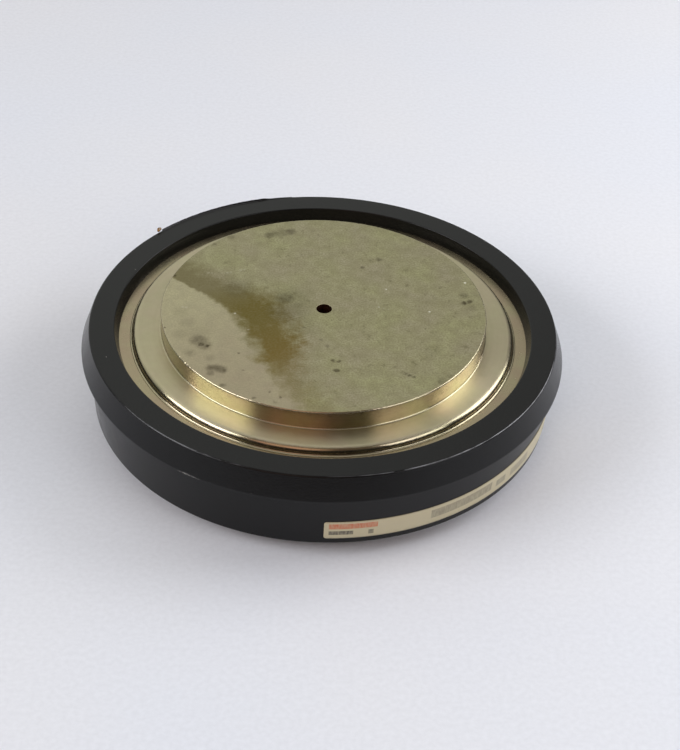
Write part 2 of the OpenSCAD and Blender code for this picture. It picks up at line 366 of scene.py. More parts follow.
def blackPlastic():
    # Glass-filled moulding compound: charcoal black, satin, finely grained, grey along its upper outer edge
    # where it is rubbed and where a painted highlight lies
    material, tree, shader, place = newMaterial("mouldedBlackCompound", IOR=1.5, Specular_IOR_Level=0.27)
    cloud = unevenness(tree, place, plastic["cloud"])
    colour = tinted(tree, *plastic["colours"], cloud)
    grain = unevenness(tree, place, plastic["grain"], 0.0, 1.0, 2.0)
    colour = tinted(tree, colour, plastic["grainTint"], grain, plastic["grainCover"])
    split = addNode(tree, "SeparateXYZ", {0: place}, None)
    turn = addNode(tree, "Math", {0: split.outputs[1], 1: split.outputs[0]}, operation="ARCTAN2")
    unrolled = addNode(tree, "CombineXYZ", {0: turn, 1: split.outputs[2]})
    # Rubbed line along the upper outer edge, partly wear and partly a painted highlight: strongest at the
    # front right and a little at the front left, where the lamps glint on that edge
    inset = plastic["rubbedHighlightInset"]
    line = (ring["face"] - inset, thickness - ring["recess"] - inset, 0)
    edgeNear = closeness(tree, sectionPlace(tree, place), line, *plastic["rubbedHighlightReach"])
    flat = addNode(tree, "VectorMath", {0: place, 1: (1, 1, 0)}, operation="MULTIPLY")
    around = addNode(tree, "VectorMath", {0: flat}, operation="NORMALIZE")
    rubbedAndHighlight = 0.0
    for azimuth, spread, cover in plastic["rubbedAndHighlight"]:
        heading = (math.cos(math.radians(azimuth)), math.sin(math.radians(azimuth)), 0)
        near = closeness(tree, around, heading, math.cos(math.radians(spread)), 1.0, cover, "DOT_PRODUCT")
        rubbedAndHighlight = addNode(tree, "Math", {0: near, 1: rubbedAndHighlight}, operation="MAXIMUM")
    rubbedAndHighlight = addNode(tree, "Math", {0: rubbedAndHighlight, 1: edgeNear}, operation="MULTIPLY")
    closer = (plastic["streaks"], 1, 0)
    stretched = addNode(tree, "VectorMath", {0: unrolled, 1: closer}, operation="MULTIPLY")
    streaks = unevenness(tree, stretched, 1.0, 0.0, 1.0, 4.0, 0.12)  # they run with the edge and break it up
    colour = tinted(tree, colour, plastic["rubbedHighlightTint"], rubbedAndHighlight, streaks)
    # Pale scuff on the collar's edge, front left: an oval with a smeared inside
    azimuth, height = plastic["scuffAt"]
    long, tall = plastic["scuffReach"]
    middle, shrunk = (math.radians(azimuth), height, 0), (ring["collar"] / long, 1 / tall, 0)
    offset = addNode(tree, "VectorMath", {0: unrolled, 1: middle}, operation="SUBTRACT")
    oval = addNode(tree, "VectorMath", {0: offset, 1: shrunk}, operation="MULTIPLY")
    scuffGap = addNode(tree, "VectorMath", {0: oval}, "Value", operation="LENGTH")
    start, full = plastic["scuffFade"]
    scuffNear = addNode(tree, "MapRange", {0: scuffGap, 1: start, 2: full})
    smear = unevenness(tree, place, plastic["smear"], 0.1)
    colour = tinted(tree, colour, plastic["scuffTint"], scuffNear, smear)
    # Dust specks where the surface looks up: one cell in ten has one
    cells = addNode(tree, "TexVoronoi", {"Vector": place, "Scale": 1 / plastic["dustApart"]}, None)
    start, full = plastic["dustReach"]
    dot = addNode(tree, "MapRange", {0: cells.outputs["Distance"], 1: start, 2: full})
    chance = addNode(tree, "SeparateColor", {0: cells.outputs["Color"]})
    chosen = addNode(tree, "Math", {0: chance, 1: plastic["dustRare"]}, operation="GREATER_THAN")
    dust = addNode(tree, "Math", {0: dot, 1: chosen}, operation="MULTIPLY")
    upward = addNode(tree, "SeparateXYZ", {0: addNode(tree, "NewGeometry", out="Normal")}, 2)
    start, full = plastic["dustUpward"]
    looksUp = addNode(tree, "MapRange", {0: upward, 1: start, 2: full, 4: plastic["dustCover"]})
    colour = tinted(tree, colour, plastic["dustTint"], dust, looksUp)
    roughness = unevenness(tree, place, plastic["polish"], *plastic["roughness"])
    texture = unevenness(tree, place, plastic["texture"])
    finishWith(tree, shader, colour, roughness, texture, plastic["textureDepth"])
    return material


def ringOutline():
    # Once round the ring's section: face, slope, collar and wall, then the lower slots and the upper ones
    outside = [
        (ring["face"], thickness - ring["recess"], ring["edge"]),
        (ring["collar"], ring["collarTop"], ring["collarEdge"]),
        (ring["collar"], ring["collarBottom"], ring["collarEdge"]),
        (ring["wallTop"], ring["underside"], ring["collarEdge"]),
        (ring["wallFoot"], ring["recess"], ring["edge"]),
    ]
    # Radius, depth and rounding along the mouth, the flange slot and the seal groove of either side
    slots = [
        ("mouth", "recess", "mouthEdge"), ("mouthFoot", "sheetOut", "inner"), ("grip", "sheetOut", "inner"),
        ("grip", "sheetIn", "inner"), ("sealOut", "sheetIn", "inner"), ("sealOut", "sealFloor", "inner"),
        ("sealIn", "sealFloor", "inner"), ("sealIn", "sheetIn", "inner"), ("bore", "sheetIn", "inner"),
    ]
    lower = [(ring[radius], fromBottom(ring[depth]), ring[edge]) for radius, depth, edge in slots]
    upper = [(ring[radius], fromTop(ring[depth]), ring[edge]) for radius, depth, edge in slots[::-1]]
    return roundedOutline(outside + lower + upper, closed=True)


def fromBottom(depth):
    # Height of a point that lies at this depth from the lower contact face
    return depth


def fromTop(depth):
    # The same from the upper one
    return thickness - depth


def makeRing(material):
    angles = np.linspace(0, 2 * np.pi, ring["steps"], endpoint=False)
    points = turnedPoints(ringOutline(), angles)
    piece = surfaceObject("mouldedRing", points, material, acrossClosed=True)
    return finished(piece, "housing_plastic", "housing_ring")


flash = {
    "from": 100.0,  # degrees round the axis
    "step": 107.0,
    "to": 139.6,
    "inside": 51.9,  # radii: where its ramp leaves the face, its brow and its outside
    "brow": 52.25,
    "outside": 52.47,
    "height": 0.36,
    "fadeHeight": 0.12,
    "sunk": 0.5,
    "waves": [(0.05, 2.1, 0.0), (0.035, 5.3, 1.2), (0.02, 17.0, 0.0)],  # share of the height, rate and phase
    "steps": 360,
}


def makeFlash(material):
    # A thin fin on the upper outer edge: its height over the face is a step, roughened by a few waves, that
    # follows a low ramp
    degrees = np.linspace(flash["from"], flash["to"], flash["steps"])
    top = thickness - ring["recess"]
    full = 1 / (1 + np.exp(-(degrees - flash["step"]) / 0.25))
    ramp = np.clip((degrees - flash["from"]) / (flash["step"] - flash["from"]), 0, 1)
    wave = sum(size * np.sin(degrees * rate + phase) for size, rate, phase in flash["waves"])
    height = flash["height"] * full * (1 + wave) + flash["fadeHeight"] * ramp * (1 - full)
    tip = 0.05 * (1 + 0.4 * np.sin(degrees * 3.7))
    inside, brow, outside = [flash[name] + 0 * degrees for name in ("inside", "brow", "outside")]
    bottom = top - flash["sunk"] + 0 * degrees
    section = np.stack([
        np.stack([inside, bottom], 1),
        np.stack([inside, top - 0.01 + 0 * degrees], 1),
        np.stack([(inside + brow) / 2, top + height * 0.4], 1),
        np.stack([brow - tip, top + height * 0.9], 1),
        np.stack([brow + 0.06, top + height], 1),
        np.stack([outside - 0.06, top + height * 0.98], 1),
        np.stack([outside, top + height * 0.75], 1),
        np.stack([outside, bottom], 1),
    ], 1)
    section[[0, -1]] = section[[0, -1]].mean(axis=1, keepdims=True)  # both ends close to a point
    points = turnedPoints(section, np.radians(degrees))
    piece = surfaceObject("mouldFlash", points, material, roundClosed=False, acrossClosed=True)
    return finished(piece, "housing_plastic")


bead = {
    "angle": 140.3,  # degrees round the axis
    "radius": 52.75,
    "height": 22.95,
    "size": (0.62, 0.42, 0.5),  # half lengths along the edge, outward and up
    "colours": ("#3a2410", "#c08a2c"),
    "patch": 0.4,
    "rounds": 32,
    "rows": 20,
}


def makeBead():
    # Set resin: amber, clear enough to look dark at its core, with a wet shine
    material, tree, shader, place = newMaterial(
        "amberResin", Roughness=0.22, IOR=1.54, Transmission_Weight=0.35, Coat_Weight=0.5)
    patch = unevenness(tree, place, bead["patch"])
    finishWith(tree, shader, tinted(tree, *bead["colours"], patch))
    # A drop: an ellipsoid whose radius swells and shrinks by a few slow waves
    turn = np.linspace(0, 2 * np.pi, bead["rounds"], endpoint=False)[:, None]
    rise = np.linspace(0, np.pi, bead["rows"])[None, :]
    swell = 1 + 0.14 * np.sin(3 * turn + 1.0) * np.sin(rise) + 0.1 * np.cos(2 * rise + turn)
    swell[:, [0, -1]] = swell[:, [0, -1]].mean(axis=0)
    long, outward, up = bead["size"]
    out = outward * swell * np.sin(rise) * np.cos(turn) + bead["radius"]
    along = long * swell * np.sin(rise) * np.sin(turn)
    height = up * swell * np.cos(rise) + bead["height"] + 0 * turn
    angle = math.radians(bead["angle"])
    x = out * math.cos(angle) - along * math.sin(angle)
    y = out * math.sin(angle) + along * math.cos(angle)
    piece = surfaceObject("resinBead", np.stack([x, y, height], -1), material)
    return finished(piece, "housing_plastic")


ringMaterial = blackPlastic()
makeRing(ringMaterial)
makeFlash(ringMaterial)
makeBead()
print("ring, flash and bead made")


pole = {
    "contact": 36.5,  # radii
    "shoulder": 42.9,
    "root": 38.0,
    "pin": 1.75,
    "contactDepth": 4.5,  # depths from the contact face
    "shoulderDepth": 6.25,
    "innerDepth": 10.5,
    "pinDepth": 3.0,
    "drillTip": 1.05,
    "contactEdge": 0.36,  # roundings
    "foot": 0.38,
    "shoulderEdge": 1.2,
    "braze": 0.5,
    "sharp": 0.04,
    "steps": 1200,
    "lapped": 0.06,  # how deep the lapped finish reaches over the contact's edge
    "nicks": 160,  # small dents along the contact's edge
    "nickDepth": (0.02, 0.1),
    "nickWidth": (0.08, 0.3),
    "nickReach": 0.4,
}
lapped = {
    "colours": ("#b1a88e", "#b3b088"),
    "cloud": 10.0,
    "fine": 0.4,  # the grit of the lapping, with its tint on the face and on the cleaned wedge
    "fineTint": ("#8c8662", 0.65),
    "fineBare": ("#9b9478", 0.45),
    "smudge": 2.6,  # finger marks, with the same two tints
    "smudgeTint": ("#8f8868", 0.45),
    "smudgeBare": ("#9c927c", 0.25),
    "fleck": 1.6,
    "fleckPatch": 8.0,
    "fleckFrom": (0.57, 0.8),  # the noise's levels where a fleck starts and is full
    "fleckTint": ("#645d3e", 0.7),
    "bare": ("#c0b895", "#b3a58b"),  # the cleaned wedge at its start, and further down
    "film": ("#7f7653", "#736631", "#7c6935"),  # the brown film from its start to its end
    "dark": "#443a26",
    "pale": "#f2eedd",
    "barePatch": 4.0,
    "filmGrain": 0.5,
    "blotch": 0.9,
    "patch": 5.0,  # size of its duller and glossier patches
    "roughness": (0.42, 0.5),
    "filmRoughness": 0.08,
    "grit": 0.35,
    "gritDepth": 0.0015,
}
stain = {
    "start": (-35.2, 9.7),  # where the cleaned wedge's border meets the contact's edge
    "slant": -55.77,  # degrees, the border's general direction
    "length": 56.0,
    "span": 18.0,  # the largest distance from the border that the curves below reach
    "ragged": (1.2, 1.3),  # size and reach of the noise that makes every border ragged
    "drift": (3.0, 0.7),
    "softness": (6.0, 26.0, 0.4, 2.4),  # where it begins and ends, and the border's half width there
    "farFade": (-4.5, 4.0),  # mm inside the film's far side where it starts and is full
    "farEdge": [(2.0, 1.5, 5.0), (0.45, 1.0, 3.0)],  # grain, reach and detail of that side's noises
    # Distances along the border between which the film browns, browns again, and the wedge grows pinker
    "brown": (8.0, 19.0),
    "late": (24.0, 36.0),
    "rosy": (10.0, 34.0),
    # Curves of (mm along the border, mm off it): the border, how far from it the film starts, and its width
    "border": [
        (0, 0), (7.7, 2.8), (13.8, 4.7), (19.9, 4.8), (27.2, 3), (33.5, 1.8), (39.8, 2), (46.6, 1.1),
        (56, 0.8),
    ],
    "lag": [(0, 0), (19, 0), (26, 1.1), (31, 1.6), (36, 0.4), (56, 0)],
    "width": [
        (0, 7.5), (6, 7), (10, 7), (15, 9.5), (20, 11), (28, 11), (33, 11), (38, 8.8), (42, 6), (46, 5),
        (56, 5),
    ],
    # The film's strength from 0 to 1
    "strength": [
        (0, 0.944), (10, 0.944), (14, 1), (28, 1), (36, 1), (41, 0.778), (46, 0.5), (50, 0.444),
        (56, 0.333),
    ],
}
marks = {
    # (x, y, radius, strength) in mm on the upper contact face
    "dark": [
        (-27, -13.6, 3, 0.6), (-26.2, -15, 1.3, 0.9), (-25, -15.4, 1, 0.95), (-25.6, -15.3, 2.2, 0.6),
        (-23.6, -23.2, 1.8, 0.7), (-22.4, -23.2, 1.8, 0.75), (-21.2, -23.6, 1.7, 0.75),
        (-23.6, -24.8, 1.3, 0.5), (-20.7, -28.9, 1, 0.6), (-28.8, -18.2, 2, 0.25), (-30, -8, 3.2, 0.15),
        (-34.8, -9.5, 0.45, 0.9), (-18, -17.5, 0.5, 0.6), (-34.6, 10.3, 0.6, 0.8),
        (-8.8, 3.4, 3.6, 0.6), (-6, 0.8, 2.8, 0.35), (-7.5, -1.2, 7, 0.3), (-7, 3.5, 6.5, 0.24),
        (-4.5, -6.5, 6, 0.14), (-19.9, 6.8, 5, 0.26), (-13.9, -32.7, 0.8, 0.6),
        (-10.8, -30.5, 0.5, 0.6), (-9.5, -33.9, 0.8, 0.35), (-16.6, -23.4, 0.5, 0.45),
        (-28.5, -18.1, 1.2, 0.4), (-24.1, -19.6, 1.6, 0.2), (-8.9, 30.7, 2, 0.65),
        (-10.4, 30.2, 2.2, 0.4), (-12, 29.4, 2.2, 0.4), (-13.6, 28.8, 1.8, 0.6),
        (-31.8, -3.6, 2.6, 0.16), (-31, -11.5, 3, 0.16), (-27.5, -10.5, 4.5, 0.14),
        (-22.6, 27.2, 1.4, 0.35), (-26.5, 23.8, 0.9, 0.45), (32.9, 5, 0.95, 1), (31.7, 4.3, 1, 1),
        (31.6, 7.2, 1.6, 0.4), (33.6, 2.6, 1.8, 0.25), (2.4, -18.9, 0.7, 0.8), (3.6, -19.1, 0.6, 0.7),
        (3.2, -22.2, 1, 0.9), (1.1, -13.9, 0.9, 0.5), (-0.4, -11.6, 0.7, 0.4), (8.5, 16.8, 0.8, 0.7),
        (12.4, 20.5, 1.2, 0.5), (-4.2, -7.4, 0.7, 0.5), (25.8, -24.3, 1.8, 0.35),
        (27.4, -22.6, 1.2, 0.3), (18, -22.4, 0.6, 0.6), (18.9, -22.9, 0.7, 0.85),
        (19.8, -23.4, 0.6, 0.7), (24, -14, 3, 0.15), (-8.4, -32, 0.5, 0.7),
    ],
    "pale": [
        (32.2, 12.4, 0.45, 0.85), (23.7, 0.5, 0.35, 0.9), (14, 8.5, 0.35, 0.6), (12.3, 1.5, 0.4, 0.35),
        (13.4, 1.1, 0.4, 0.12), (14.4, 0.7, 0.4, 0.1), (-26.9, 12.1, 0.5, 0.14),
        (-26.1, 12.2, 0.4, 0.1), (-22.6, 12.4, 0.5, 0.16), (-21.8, 12.7, 0.5, 0.12),
        (-19.6, 13.7, 0.5, 0.16), (-18.8, 14.1, 0.5, 0.12), (-19.8, -3.2, 0.4, 0.5),
        (-31.6, -1.6, 0.5, 0.14), (-30.8, -1.7, 0.5, 0.12), (-16.5, -9, 0.4, 0.2),
    ],
}


def curveAlong(tree, along, points, most):
    # A curve through (mm along, value) points, where most is the largest value that it can hold
    share = addNode(tree, "Math", {0: along, 1: stain["length"]}, operation="DIVIDE")
    node = addNode(tree, "FloatCurve", {"Value": share}, None)
    curve = node.mapping.curves[0]
    for at, value in points[1:-1]:
        curve.points.new(at / stain["length"], value / most)
    for point, (at, value) in zip((curve.points[0], curve.points[-1]), (points[0], points[-1])):
        point.location = (at / stain["length"], value / most)
    node.mapping.update()
    return addNode(tree, "Math", {0: node.outputs[0], 1: most}, operation="MULTIPLY")


def spotted(tree, place, spots):
    # The strongest of several soft round spots, each full within a quarter of its radius
    total = 0.0
    for x, y, radius, strength in spots:
        near = closeness(tree, place, (x, y, 0), radius, radius * 0.25, strength)
        total = addNode(tree, "Math", {0: near, 1: total}, operation="MAXIMUM")
    return total


def stained(tree, flat, colour, fine, smudge):
    # The upper face's wear: a wedge cleaned bare, the brown film along its border, dark marks and bright
    # pricks. It gives back the colour and how thick the film lies
    grain, reach = stain["ragged"]
    warp = addNode(tree, "TexNoise", {"Vector": flat, "Scale": 1 / grain, "Detail": 6.0}, "Color")
    offset = addNode(tree, "VectorMath", {0: warp, 1: (0.5, 0.5, 0.5)}, operation="SUBTRACT")
    ragged = addNode(tree, "VectorMath", {0: offset, 1: (reach, reach, 0), 2: flat}, operation="MULTIPLY_ADD")
    slant = (0, 0, math.radians(stain["slant"]))
    pose = {"Vector": ragged, "Location": stain["start"] + (0,), "Rotation": slant}
    aligned = addNode(tree, "Mapping", pose, vector_type="TEXTURE")
    slanted = addNode(tree, "SeparateXYZ", {0: aligned}, None)
    along, off = slanted.outputs[0], slanted.outputs[1]
    curves = [stain[name] for name in ("border", "lag", "width")]
    border, lag, width = [curveAlong(tree, along, curve, stain["span"]) for curve in curves]
    # The wedge's border is sharp where it starts and grows soft and cloudy further down
    begin, end, sharpest, softest = stain["softness"]
    soft = addNode(tree, "MapRange", {0: along, 1: begin, 2: end, 3: sharpest, 4: softest})
    grain, reach = stain["drift"]
    drift = unevenness(tree, flat, grain, -reach, reach, 4.0)
    past = addNode(tree, "Math", {0: off, 1: border}, operation="SUBTRACT")
    past = addNode(tree, "Math", {0: drift, 1: soft, 2: past}, operation="MULTIPLY_ADD")
    share = addNode(tree, "Math", {0: past, 1: soft}, operation="DIVIDE")
    wedge = addNode(tree, "MapRange", {0: share, 1: 1.0, 2: -1.0}, interpolation_type="SMOOTHSTEP")
    # The film lies between its start near the border and its far side
    left = addNode(tree, "Math", {0: width, 1: past}, operation="SUBTRACT")
    for grain, reach, detail in stain["farEdge"]:
        rough = unevenness(tree, flat, grain, -reach, reach, detail)
        left = addNode(tree, "Math", {0: left, 1: rough}, operation="ADD")
    start, full = stain["farFade"]
    inner = addNode(tree, "MapRange", {0: left, 1: start, 2: full}, interpolation_type="SMOOTHSTEP")
    onset = addNode(tree, "Math", {0: past, 1: lag}, operation="SUBTRACT")
    onset = addNode(tree, "Math", {0: onset, 1: soft}, operation="DIVIDE")
    near = addNode(tree, "MapRange", {0: onset, 1: -1.0, 2: 1.0}, interpolation_type="SMOOTHSTEP")
    film = curveAlong(tree, along, stain["strength"], 1.0)
    for part in (inner, near, unevenness(tree, flat, lapped["filmGrain"], 0.82, 1.0, 4.0)):
        film = addNode(tree, "Math", {0: film, 1: part}, operation="MULTIPLY")
    # It browns to its middle, and again towards its end; the wedge grows pinker down its length
    ways = [stain[name] for name in ("brown", "late", "rosy")]
    middle, late, rosy = [addNode(tree, "MapRange", {0: along, 1: a, 2: b}) for a, b in ways]
    first, second, last = lapped["film"]
    brown = tinted(tree, tinted(tree, first, second, middle), last, late)
    bare = tinted(tree, *lapped["bare"], rosy, unevenness(tree, flat, lapped["barePatch"], 0.6))
    for name, pattern in (("fineBare", fine), ("smudgeBare", smudge)):
        tint, cover = lapped[name]
        bare = tinted(tree, bare, tint, pattern, cover)
    colour = tinted(tree, colour, bare, wedge)
    colour = tinted(tree, colour, brown, film)
    blotches = unevenness(tree, flat, lapped["blotch"], 0.6, 1.0, 4.0)
    colour = tinted(tree, colour, lapped["dark"], spotted(tree, ragged, marks["dark"]), blotches)
    return tinted(tree, colour, lapped["pale"], spotted(tree, flat, marks["pale"])), film


def lappedNickel(upper):
    # Nickel on copper, lapped flat: olive grey and matt, mottled by handling; the upper one is stained
    name = "lappedNickelStained" if upper else "lappedNickel"
    material, tree, shader, place = newMaterial(name, Metallic=1.0)
    flat = addNode(tree, "VectorMath", {0: place, 1: (1, 1, 0)}, operation="MULTIPLY")
    cloud = unevenness(tree, flat, lapped["cloud"], 0.0, 1.0, 4.0, 0.14)
    colour = tinted(tree, *lapped["colours"], cloud)
    fine = unevenness(tree, flat, lapped["fine"], 0.0, 1.0, 4.0, 0.13)
    smudge = unevenness(tree, flat, lapped["smudge"], 0.0, 1.0, 5.0, 0.14)
    for name, pattern in (("fineTint", fine), ("smudgeTint", smudge)):
        tint, cover = lapped[name]
        colour = tinted(tree, colour, tint, pattern, cover)
    # Small darker flecks, in patches, where handling has tarnished it
    tarnish = addNode(tree, "TexNoise", {"Vector": flat, "Scale": 1 / lapped["fleck"], "Detail": 4.0})
    start, full = lapped["fleckFrom"]
    flecks = addNode(tree, "MapRange", {0: tarnish, 1: start, 2: full})
    tint, cover = lapped["fleckTint"]
    patches = unevenness(tree, flat, lapped["fleckPatch"], 0.0, cover, 2.0, 0.12)
    colour = tinted(tree, colour, tint, flecks, patches)
    roughness = unevenness(tree, flat, lapped["patch"], *lapped["roughness"])
    if upper:
        colour, film = stained(tree, flat, colour, fine, smudge)
        roughness = addNode(tree, "Math", {0: film, 1: lapped["filmRoughness"], 2: roughness},
                            operation="MULTIPLY_ADD")
    grit = unevenness(tree, flat, lapped["grit"], 0.0, 1.0, 2.0)
    finishWith(tree, shader, colour, roughness, grit, lapped["gritDepth"])
    return material


turned = {
    "rings": 0.35,  # tool rings stand about 0.1 mm apart; they are drawn coarser so that they show
    "ringCover": 0.25,
    "ringDepth": 0.0004,
    "cloud": 7.0,
    "smudge": 1.8,
    "smudgeTint": ("#9a9072", 0.25),
    "flatFrom": (0.7, 0.98),  # how far up a surface looks where it starts to be a flat and is fully one
    "paintedFlatToneCover": 0.5,
    "patch": 2.5,  # size of its duller and glossier patches, and how far they go from its roughness
    "patchReach": 0.025,
}
turnedSide = {
    "name": "turnedNickelPlate",
    "colours": ("#b9b391", "#bcae95"),
    "ringTint": "#a59b81",
    # painted tone of the flats, lighter and pinker for how light falls on them
    "paintedFlatTone": "#c2b899",
    "roughness": (0.2, 0.32),  # of what stands upright, and of its flats
    "anisotropic": 0.85,
}
pressedSheet = {
    "name": "pressedNickelSheet",
    "colours": ("#aea884", "#ab9680"),
    "ringTint": "#9a896c",
    # painted tone of the flats, for how light falls on them
    "paintedFlatTone": "#ac9e83",
    "roughness": (0.26, 0.26),
    "anisotropic": 0.6,
}
drilled = {
    "colours": ("#4a372b", "#7d553c"),
    "cloud": 0.6,
    "score": 0.3,
    "roughness": (0.35, 0.5),
}


def turnedNickel(finish):
    # Nickel on turned copper: warm silver, its fine tool rings stretch each highlight across them; flats are
    # duller, and a painted tone makes them a little lighter and pinker than what stands upright
    material, tree, shader, place = newMaterial(
        finish["name"], Metallic=1.0, Anisotropic=finish["anisotropic"], Anisotropic_Rotation=0.25)
    rings = unevenness(tree, sectionPlace(tree, place), turned["rings"], 0.0, 1.0, 2.0)
    cloud = unevenness(tree, place, turned["cloud"], 0.0, 1.0, 3.0, 0.12)
    smudge = unevenness(tree, place, turned["smudge"], 0.0, 1.0, 5.0, 0.16)
    colour = tinted(tree, *finish["colours"], cloud)
    colour = tinted(tree, colour, finish["ringTint"], rings, turned["ringCover"])
    tint, cover = turned["smudgeTint"]
    colour = tinted(tree, colour, tint, smudge, cover)
    upward = addNode(tree, "SeparateXYZ", {0: addNode(tree, "NewGeometry", out="Normal")}, 2)
    upward = addNode(tree, "Math", {0: upward}, operation="ABSOLUTE")
    start, full = turned["flatFrom"]
    flatness = addNode(tree, "MapRange", {0: upward, 1: start, 2: full})
    # Painted light: faces that look up are tinted lighter and pinker than upright ones, for how light falls
    # on them
    colour = tinted(tree, colour, finish["paintedFlatTone"], flatness, turned["paintedFlatToneCover"])
    steep, flat = finish["roughness"]
    roughness = addNode(tree, "MapRange", {0: flatness, 3: steep, 4: flat})
    patches = unevenness(tree, place, turned["patch"], -turned["patchReach"], turned["patchReach"])
    roughness = addNode(tree, "Math", {0: roughness, 1: patches}, operation="ADD")
    finishWith(tree, shader, colour, roughness, rings, turned["ringDepth"])
    tree.links.new(addNode(tree, "Tangent", direction_type="RADIAL", axis="Z"), shader.inputs["Tangent"])
    return material


def drilledCopper():
    # The bare wall of a drilled hole: copper gone brown, dull and dark
    material, tree, shader, place = newMaterial("drilledCopper", Metallic=1.0)
    colour = tinted(tree, *drilled["colours"], unevenness(tree, place, drilled["cloud"]))
    finishWith(tree, shader, colour, unevenness(tree, place, drilled["score"], *drilled["roughness"]))
    return material


def poleOutline(height):
    # From the drill's cone out over the contact face, down its side, over the shoulder, down to the braze's
    # fillet, whose foot lies hidden in the flange, and in to the axis again
    brazeFoot = pole["shoulder"] + pole["braze"] + 0.1
    corners = [
        (0.0, pole["pinDepth"] + pole["drillTip"], 0.0),
        (pole["pin"], pole["pinDepth"], pole["sharp"]),
        (pole["pin"], 0.0, pole["sharp"]),
        (pole["contact"], 0.0, pole["contactEdge"]),
        (pole["contact"], pole["contactDepth"], pole["foot"]),
        (pole["shoulder"], pole["contactDepth"], pole["shoulderEdge"]),
        (pole["shoulder"], pole["shoulderDepth"], pole["braze"]),
        (brazeFoot, pole["shoulderDepth"], 0.0),
        (brazeFoot, pole["shoulderDepth"] + 0.1, 0.0),
        (pole["root"], pole["shoulderDepth"] + 0.1, pole["sharp"]),
        (pole["root"], pole["innerDepth"], pole["sharp"]),
        (0.0, pole["innerDepth"], 0.0),
    ]
    return roundedOutline([(radius, height(depth), edge) for radius, depth, edge in corners], closed=False)


def dented(outline, angles, contactHeight, seed):
    # Each nick is a bell round the edge, depth * exp(-(arc / width) ^ 2); the deepest one counts. It moves
    # the edge's points towards the axis and into the metal, less the further they lie from the corner
    chance = np.random.default_rng(seed)
    centre = chance.uniform(0, 2 * np.pi, pole["nicks"])
    depth = chance.uniform(*pole["nickDepth"], pole["nicks"]) * chance.uniform(0.3, 1, pole["nicks"])
    width = chance.uniform(*pole["nickWidth"], pole["nicks"])
    away = np.angle(np.exp(1j * (angles[:, None] - centre[None, :]))) * pole["contact"]
    dent = (depth * np.exp(-(away / width) ** 2)).max(axis=1)
    corner = np.array([pole["contact"], contactHeight])
    inward = np.array([-1, 1 if contactHeight < 1 else -1])
    weight = np.clip(1 - np.linalg.norm(outline - corner, axis=1) / pole["nickReach"], 0, 1)
    return outline[None] + dent[:, None, None] * weight[None, :, None] * inward[None, None]


def makePole(name, node, height, face, side, hole, seed):
    # The turned metal, with its lapped face and its drilled hole in slots of their own
    angles = np.linspace(0, 2 * np.pi, pole["steps"], endpoint=False)
    outline = dented(poleOutline(height), angles, height(0.0), seed)
    piece = surfaceObject(name, turnedPoints(outline, angles), side)
    mesh = piece.data
    mesh.materials.append(face)
    mesh.materials.append(hole)
    centres = np.empty(len(mesh.polygons) * 3)
    mesh.polygons.foreach_get("center", centres)
    centres = centres.reshape(-1, 3) / mm
    radius = np.hypot(centres[:, 0], centres[:, 1])
    depth = np.abs(centres[:, 2] - height(0.0))
    onFace = (depth < pole["lapped"]) & (radius > pole["pin"])
    inHole = (radius < pole["pin"] + 0.01) & (depth < pole["pinDepth"] + pole["drillTip"] + 0.1)
    slotNumber = np.where(inHole, 2, np.where(onFace, 1, 0)).astype(np.int32)
    mesh.polygons.foreach_set("material_index", slotNumber)
    return finished(piece, "plated_copper", node)


flange = {
    "inside": 38.0,
    "outside": 49.5,
    "depth": 6.25,  # from the contact face to the flange's outer side
    "sheet": 0.5,
    "edge": 0.02,
    "steps": 720,
}


def flangeOutline(height):
    # Once round the flat sheet's section
    inside, outside, edge = flange["inside"], flange["outside"], flange["edge"]
    near, far = height(flange["depth"]), height(flange["depth"] + flange["sheet"])
    corners = [(inside, near, edge), (outside, near, edge), (outside, far, edge), (inside, far, edge)]
    return roundedOutline(corners, closed=True)


def makeFlange(name, node, height, material):
    angles = np.linspace(0, 2 * np.pi, flange["steps"], endpoint=False)
    piece = surfaceObject(name, turnedPoints(flangeOutline(height), angles), material, acrossClosed=True)
    return finished(piece, "plated_sheet", node)


sideNickel = turnedNickel(turnedSide)
sheetNickel = turnedNickel(pressedSheet)
holeCopper = drilledCopper()
makePole("upperPoleMetal", "upper_pole_piece", fromTop, lappedNickel(True), sideNickel, holeCopper, 11)
makePole("lowerPoleMetal", "lower_pole_piece", fromBottom, lappedNickel(False), sideNickel, holeCopper, 23)
makeFlange("upperFlangeSheet", "upper_flange", fromTop, sheetNickel)
makeFlange("lowerFlangeSheet", "lower_flange", fromBottom, sheetNickel)
print("pole pieces and flanges made")


label = {
    "start": 272.0,  # degrees round the axis
    "length": 78.0,
    "bottom": 5.2,
    "height": 4.8,
    "thickness": 0.12,
    "corner": 0.6,
    "steps": 260,
    "rows": 12,
    "paper": "#c5bb98",
    "fibre": 0.5,
    "fibreTint": ("#bdb399", 0.3),
    "fibreDepth": 0.003,
    "worn": 0.4,  # grain of the wear in its print and its grime
    "inkEdge": 0.06,
    "grimeTint": ("#7d735f", 0.5),
    "grimeReach": 0.28,
    # Print, as plain fields: left, bottom, right and top in mm from the lower left corner, ink and cover
    "print": [
        (1.0, 2.75, 11.2, 4.25, "#c25420", 0.9),
        (1.0, 1.05, 6.1, 2.15, "#211c1a", 0.95),
        (9.3, 0.85, 10.4, 2.1, "#211c1a", 0.8),
        (23.2, 1.5, 39.6, 3.85, "#4c463e", 0.6),
        (41.1, 1.4, 44.3, 3.2, "#4c463e", 0.6),
        (46.2, 1.2, 53.6, 3.3, "#4c463e", 0.5),
    ],
}


